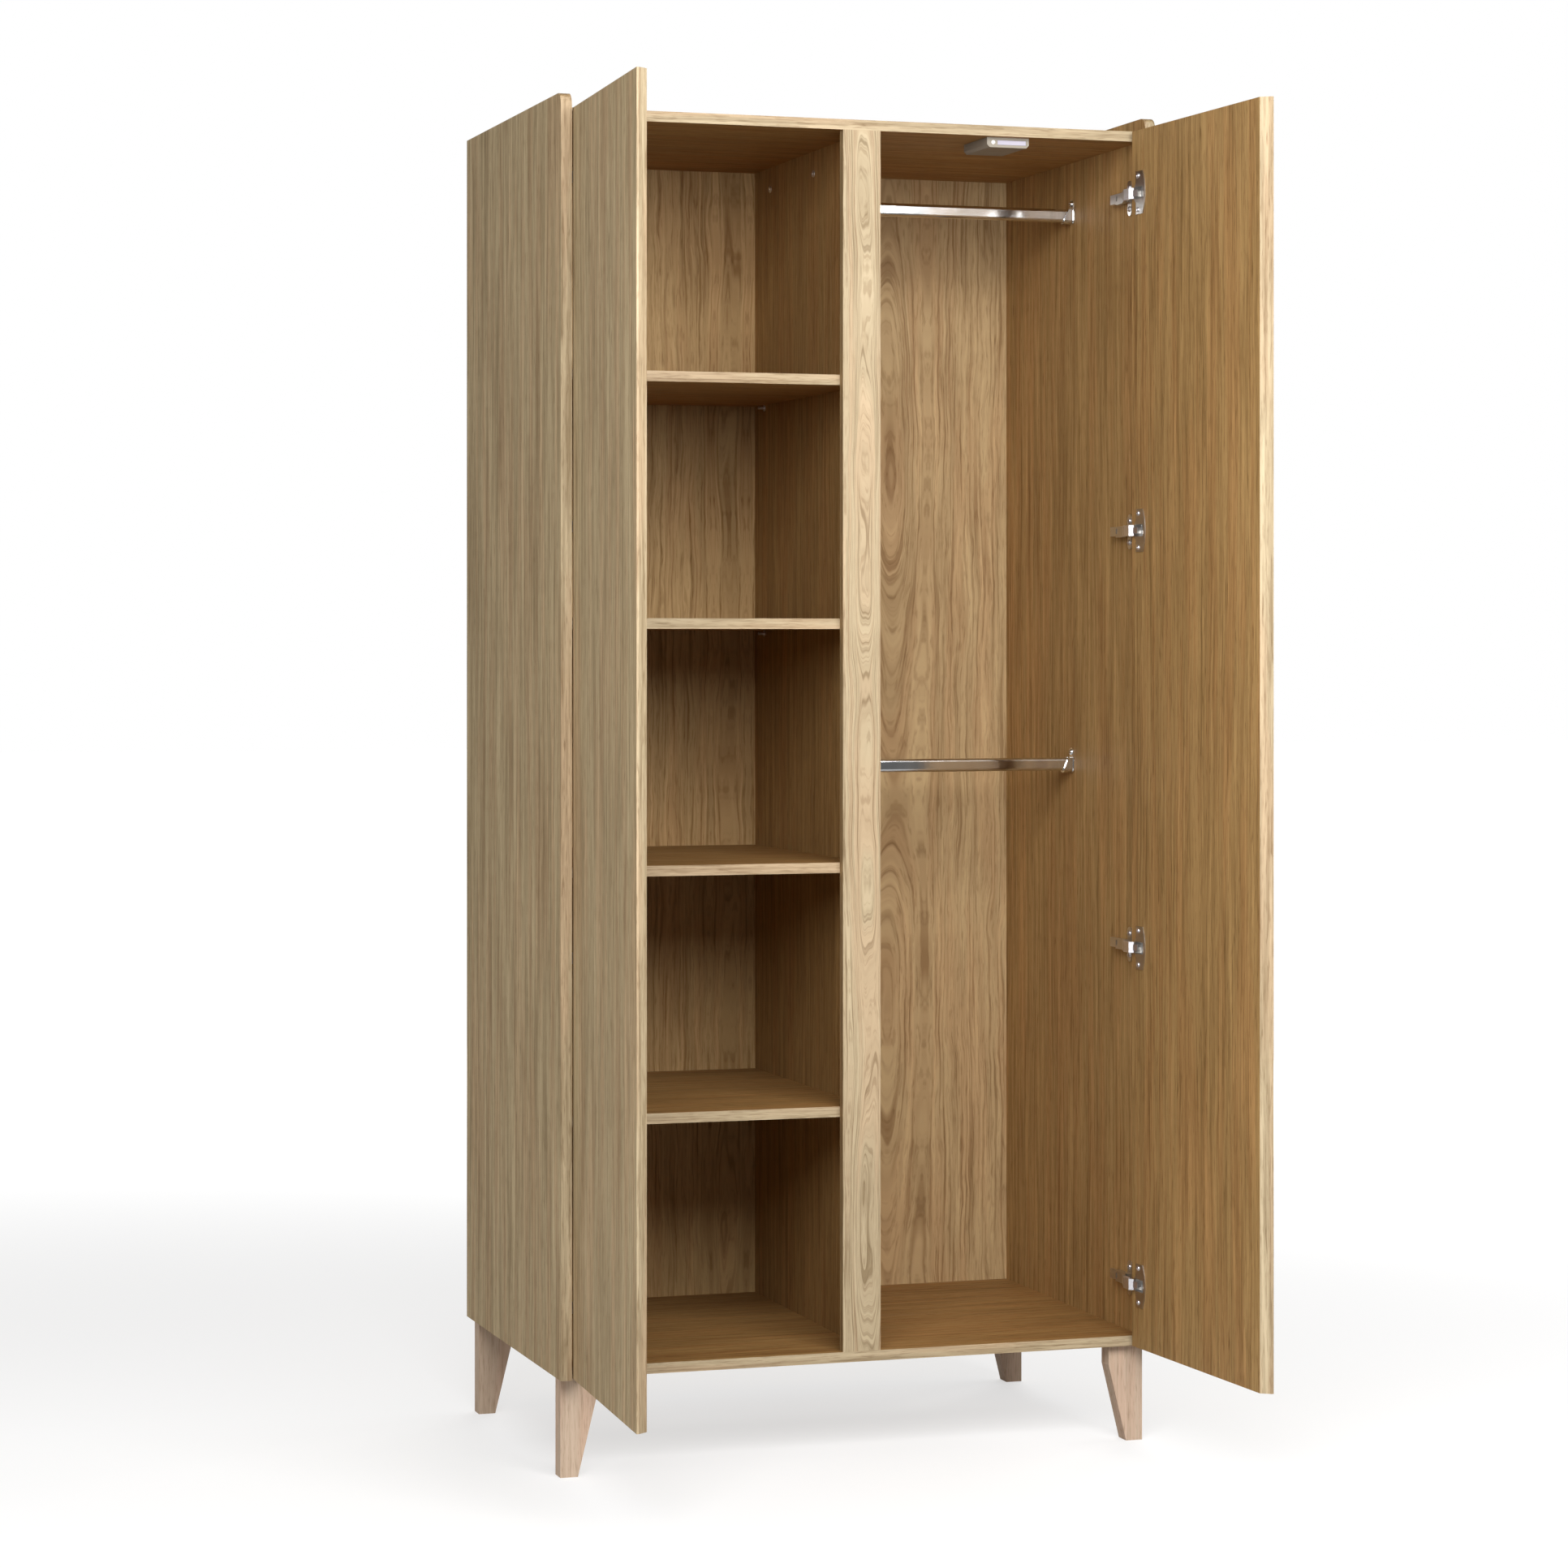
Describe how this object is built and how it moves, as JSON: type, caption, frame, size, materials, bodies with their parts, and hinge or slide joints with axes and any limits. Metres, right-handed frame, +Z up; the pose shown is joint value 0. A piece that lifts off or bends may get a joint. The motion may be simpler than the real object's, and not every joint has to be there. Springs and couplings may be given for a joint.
{
  "type": "wardrobe",
  "caption": "Tall free-standing wardrobe: a shelf bay and a hanging bay behind inset doors on concealed hinges, on tapered legs.",
  "frame": {"origin": "floor level, under the middle of the object's whole width and depth with both doors standing open", "axes": "+X to the viewer's right, +Y to the back, +Z up"},
  "size_m": [0.9074, 1.0071, 1.9515],
  "materials": {
    "oak_foil": "satin oak-grain foil on board",
    "back_foil": "matt oak-grain print on thin board",
    "solid_oak": "matt lacquered solid oak",
    "chrome": "polished chrome plate",
    "nickel": "nickel-plated pressed steel",
    "lamp_metal": "satin silver",
    "lamp_plastic": "white diffusing plastic"
  },
  "bodies": {
    "carcass": {"side_panel_left": "oak_foil", "side_panel_right": "oak_foil", "top_panel": "oak_foil", "bottom_panel": "oak_foil", "centre_stile": "oak_foil", "divider_panel": "oak_foil", "shelf_1": "oak_foil", "shelf_2": "oak_foil", "shelf_3": "oak_foil", "shelf_4": "oak_foil", "back_panel_left": "back_foil", "back_panel_right": "back_foil", "leg_front_left": "solid_oak", "leg_rear_left": "solid_oak", "leg_front_right": "solid_oak", "leg_rear_right": "solid_oak", "hanging_rod_lower": "chrome", "rod_bracket_lower_left": "chrome", "rod_bracket_lower_right": "chrome", "hanging_rod_upper": "chrome", "rod_bracket_upper_left": "chrome", "rod_bracket_upper_right": "chrome", "lamp_base": "lamp_plastic", "lamp_housing": "lamp_metal", "lamp_lens": "lamp_plastic", "hinge_plate_left_1": "nickel", "hinge_arm_left_1": "nickel", "hinge_plate_left_2": "nickel", "hinge_arm_left_2": "nickel", "hinge_plate_left_3": "nickel", "hinge_arm_left_3": "nickel", "hinge_plate_left_4": "nickel", "hinge_arm_left_4": "nickel", "hinge_plate_right_1": "nickel", "hinge_arm_right_1": "nickel", "hinge_plate_right_2": "nickel", "hinge_arm_right_2": "nickel", "hinge_plate_right_3": "nickel", "hinge_arm_right_3": "nickel", "hinge_plate_right_4": "nickel", "hinge_arm_right_4": "nickel"},
    "door_left": {"door_left": "oak_foil", "hinge_cup_left_1": "nickel", "hinge_cup_left_2": "nickel", "hinge_cup_left_3": "nickel", "hinge_cup_left_4": "nickel"},
    "hinge_links_left": {"hinge_link_left_1": "nickel", "hinge_link_left_2": "nickel", "hinge_link_left_3": "nickel", "hinge_link_left_4": "nickel"},
    "door_right": {"door_right": "oak_foil", "hinge_cup_right_1": "nickel", "hinge_cup_right_2": "nickel", "hinge_cup_right_3": "nickel", "hinge_cup_right_4": "nickel"},
    "hinge_links_right": {"hinge_link_right_1": "nickel", "hinge_link_right_2": "nickel", "hinge_link_right_3": "nickel", "hinge_link_right_4": "nickel"}
  },
  "joints": [
    {"name": "door_left", "type": "hinge", "parent": "carcass", "child": "door_left", "pos_m": [-0.42865, -0.0835, 1.0375], "axis": [0, 0, 1], "range_deg": [-2, 93]},
    {"name": "door_right", "type": "hinge", "parent": "carcass", "child": "door_right", "pos_m": [0.42865, -0.0835, 1.0375], "axis": [0, 0, 1], "range_deg": [-93, 2]},
    {"name": "links_left", "type": "hinge", "parent": "carcass", "child": "hinge_links_left", "pos_m": [-0.4115, -0.0655, 1.0375], "axis": [0, 0, 1], "range_deg": [-2, 93]},
    {"name": "links_right", "type": "hinge", "parent": "carcass", "child": "hinge_links_right", "pos_m": [0.4115, -0.0655, 1.0375], "axis": [0, 0, 1], "range_deg": [-93, 2]}
  ],
  "couplings": [
    {"joint": "links_left", "follows": "door_left", "ratio": 1},
    {"joint": "links_right", "follows": "door_right", "ratio": 1}
  ]
}
